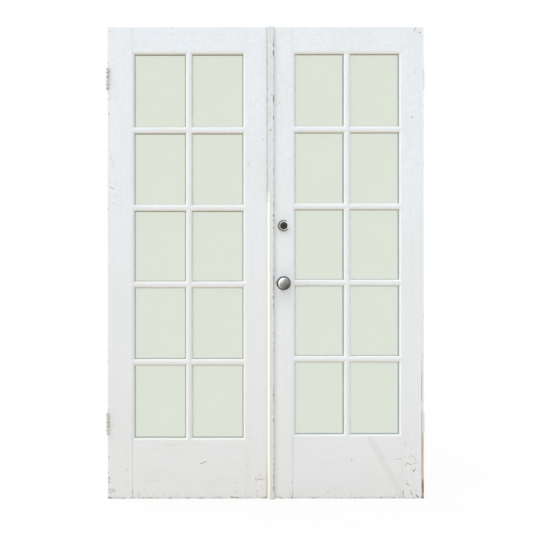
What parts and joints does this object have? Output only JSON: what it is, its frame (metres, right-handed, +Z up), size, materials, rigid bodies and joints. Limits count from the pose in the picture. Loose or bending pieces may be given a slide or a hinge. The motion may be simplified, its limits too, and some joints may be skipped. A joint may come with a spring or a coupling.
{
  "type": "pair of french doors",
  "caption": "Pair of painted wooden french doors with divided lights, astragal, butt hinges, deadbolt and knob.",
  "frame": {"origin": "on the floor line of both leaves, under the middle of the overall box, at mid thickness", "axes": "+X to the right as seen from the keyed face, +Y through the leaves to the back, +Z up"},
  "size_m": [1.377, 0.1644, 2.032],
  "materials": {
    "white_paint": "worn white paint on wood",
    "old_paint": "aged cream-white paint on wood, chipped on its edges",
    "bare_wood": "white paint worn to bare wood at the foot",
    "pale_glass": "clear, pale green",
    "painted_steel": "painted over, chipped",
    "plated_steel": "plated",
    "satin_nickel": "satin",
    "dark_steel": "dark, dull"
  },
  "bodies": {
    "frame_plates": {"left_lower_frame_plate": "painted_steel", "left_upper_frame_plate": "painted_steel", "right_lower_frame_plate": "painted_steel", "right_upper_frame_plate": "painted_steel", "hinge_pins": "painted_steel"},
    "left_door": {"left_hinge_stile": "white_paint", "left_meeting_stile": "white_paint", "left_top_rail": "white_paint", "left_bottom_rail": "white_paint", "left_upright_bar": "white_paint", "left_cross_bars_1": "white_paint", "left_cross_bars_2": "white_paint", "left_cross_bars_3": "white_paint", "left_cross_bars_4": "white_paint", "left_outer_panes": "pale_glass", "left_inner_panes": "pale_glass", "left_glazing_beads": "white_paint", "left_lower_door_plate": "painted_steel", "left_upper_door_plate": "painted_steel", "left_hinge_screws": "plated_steel", "astragal": "old_paint", "latch_strike": "plated_steel", "deadbolt_strike": "plated_steel", "strike_screws": "plated_steel"},
    "right_door": {"right_hinge_stile": "white_paint", "right_meeting_stile": "white_paint", "right_top_rail": "white_paint", "right_bottom_rail": "white_paint", "right_upright_bar": "white_paint", "right_cross_bars_1": "white_paint", "right_cross_bars_2": "white_paint", "right_cross_bars_3": "white_paint", "right_cross_bars_4": "white_paint", "right_outer_panes": "pale_glass", "right_inner_panes": "pale_glass", "right_glazing_beads": "white_paint", "right_lower_door_plate": "painted_steel", "right_upper_door_plate": "painted_steel", "right_hinge_screws": "plated_steel", "right_edge_strip": "bare_wood", "rose_front": "satin_nickel", "rose_back": "satin_nickel", "latch_case": "plated_steel", "latch_faceplate": "satin_nickel", "deadbolt_collar": "satin_nickel", "lock_cylinder": "dark_steel", "deadbolt_case": "plated_steel", "deadbolt_faceplate": "satin_nickel", "thumbturn_rose": "satin_nickel", "faceplate_screws": "plated_steel"},
    "knobs": {"knob_front": "satin_nickel", "knob_back": "satin_nickel", "spindle": "plated_steel"},
    "latch": {"latch_bolt": "plated_steel"},
    "thumb_turn": {"thumbturn": "satin_nickel", "tailpiece": "plated_steel"},
    "plug": {"key_plug": "plated_steel"},
    "deadbolt": {"deadbolt_bolt": "plated_steel"}
  },
  "joints": [
    {"name": "left_door_swing", "type": "hinge", "parent": "frame_plates", "child": "left_door", "pos_m": [-0.6825, -0.02865, 0], "axis": [0, 0, -1], "range_deg": [0, 110]},
    {"name": "right_door_swing", "type": "hinge", "parent": "frame_plates", "child": "right_door", "pos_m": [0.6825, 0.02865, 0], "axis": [0, 0, -1], "range_deg": [0, 110]},
    {"name": "knob_turn", "type": "hinge", "parent": "right_door", "child": "knobs", "pos_m": [0.077, 0, 0.929], "axis": [0, 1, 0], "range_deg": [0, 60]},
    {"name": "latch_slide", "type": "slide", "parent": "right_door", "child": "latch", "axis": [-1, 0, 0], "range_m": [0, 0.012]},
    {"name": "thumbturn_turn", "type": "hinge", "parent": "right_door", "child": "thumb_turn", "pos_m": [0.077, 0, 1.176], "axis": [0, 1, 0], "range_deg": [0, 90]},
    {"name": "key_plug_turn", "type": "hinge", "parent": "right_door", "child": "plug", "pos_m": [0.077, 0, 1.176], "axis": [0, 1, 0], "range_deg": [0, 90]},
    {"name": "deadbolt_slide", "type": "slide", "parent": "right_door", "child": "deadbolt", "axis": [-1, 0, 0], "range_m": [0, 0.0254]}
  ],
  "couplings": [
    {"joint": "latch_slide", "follows": "knob_turn", "m_per_rad": 0.011459},
    {"joint": "deadbolt_slide", "follows": "thumbturn_turn", "m_per_rad": 0.01617},
    {"joint": "key_plug_turn", "follows": "thumbturn_turn", "ratio": 1}
  ]
}
